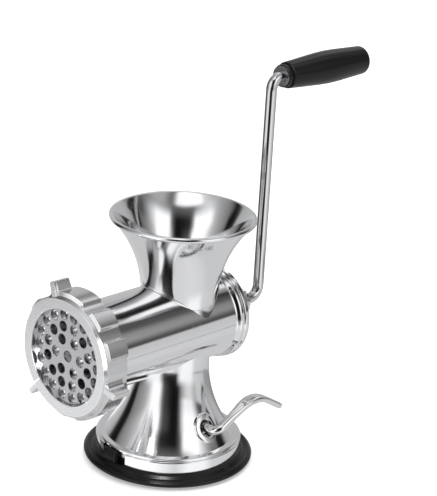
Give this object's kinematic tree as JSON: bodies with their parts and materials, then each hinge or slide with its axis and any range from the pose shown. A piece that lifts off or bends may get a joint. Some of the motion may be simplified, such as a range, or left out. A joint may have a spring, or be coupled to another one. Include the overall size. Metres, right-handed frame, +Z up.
{
  "type": "hand crank meat grinder",
  "caption": "Table-top meat grinder with a flared hopper, a barrel with auger, knife and plate, a ring nut, a bent crank with turning grip, and a lever-locked suction foot.",
  "frame": {"origin": "centre of the suction foot on the table plane", "axes": "+Z up, barrel along Y with its outlet towards -Y and its crank at +Y, suction lever on the +X side"},
  "size_m": [0.1204, 0.281, 0.2775],
  "materials": {
    "polished_steel": "mirror-polished stainless steel",
    "polished_rod": "bright plated steel rod",
    "satin_casting": "satin cast metal with bright bevels",
    "cast_worm": "cast, lightly polished",
    "tool_steel": "ground steel",
    "bush_bronze": "turned bearing bronze",
    "bush_plastic": "black bearing plastic",
    "grip_plastic": "black, smooth",
    "black_rubber": "black satin rubber"
  },
  "bodies": {
    "body": {"hopper": "polished_steel", "barrel": "polished_steel", "pedestal": "polished_steel", "rear_cap": "polished_steel", "bearing_bush": "bush_bronze", "plate_key": "tool_steel", "lever_bush": "bush_plastic", "base_plate": "tool_steel", "base_screws": "tool_steel", "suction_pad": "black_rubber"},
    "drive": {"auger": "cast_worm", "drive_shaft": "tool_steel", "knife_stud": "tool_steel", "cross_knife": "tool_steel", "thrust_washer": "tool_steel", "crank_arm": "polished_rod", "front_grip_washer": "tool_steel", "rear_grip_washer": "tool_steel", "grip_nut": "tool_steel"},
    "grip": {"grip": "grip_plastic", "grip_end_cap": "grip_plastic"},
    "plate": {"mincing_plate": "tool_steel"},
    "ring": {"ring_nut": "satin_casting"},
    "lever": {"suction_lever": "polished_rod", "lever_cam": "tool_steel", "cam_pin": "tool_steel", "lever_clip": "tool_steel"},
    "plunger": {"plunger_stem": "tool_steel", "press_disc": "tool_steel", "pad_core": "black_rubber"}
  },
  "joints": [
    {"name": "crank_turn", "type": "hinge", "parent": "body", "child": "drive", "pos_m": [0, 0, 0.1014], "axis": [0, 1, 0], "continuous": true},
    {"name": "grip_spin", "type": "hinge", "parent": "drive", "child": "grip", "pos_m": [0, 0.13, 0.2655], "axis": [0, 1, 0], "continuous": true},
    {"name": "plate_slide", "type": "slide", "parent": "body", "child": "plate", "axis": [0, -1, 0], "range_m": [0, 0.009]},
    {"name": "ring_turn", "type": "hinge", "parent": "plate", "child": "ring", "pos_m": [0, -0.0919, 0.1014], "axis": [0, 1, 0], "range_deg": [0, 810]},
    {"name": "lever_turn", "type": "hinge", "parent": "body", "child": "lever", "pos_m": [0.048, 0, 0.034], "axis": [1, 0, 0], "range_deg": [0, 160]},
    {"name": "plunger_lift", "type": "slide", "parent": "body", "child": "plunger", "axis": [0, 0, 1], "range_m": [-0.005, 0]}
  ],
  "couplings": [
    {"joint": "plate_slide", "follows": "ring_turn", "m_per_rad": 0.00063662},
    {"joint": "plunger_lift", "follows": "lever_turn", "m_per_rad": -0.0017905}
  ]
}
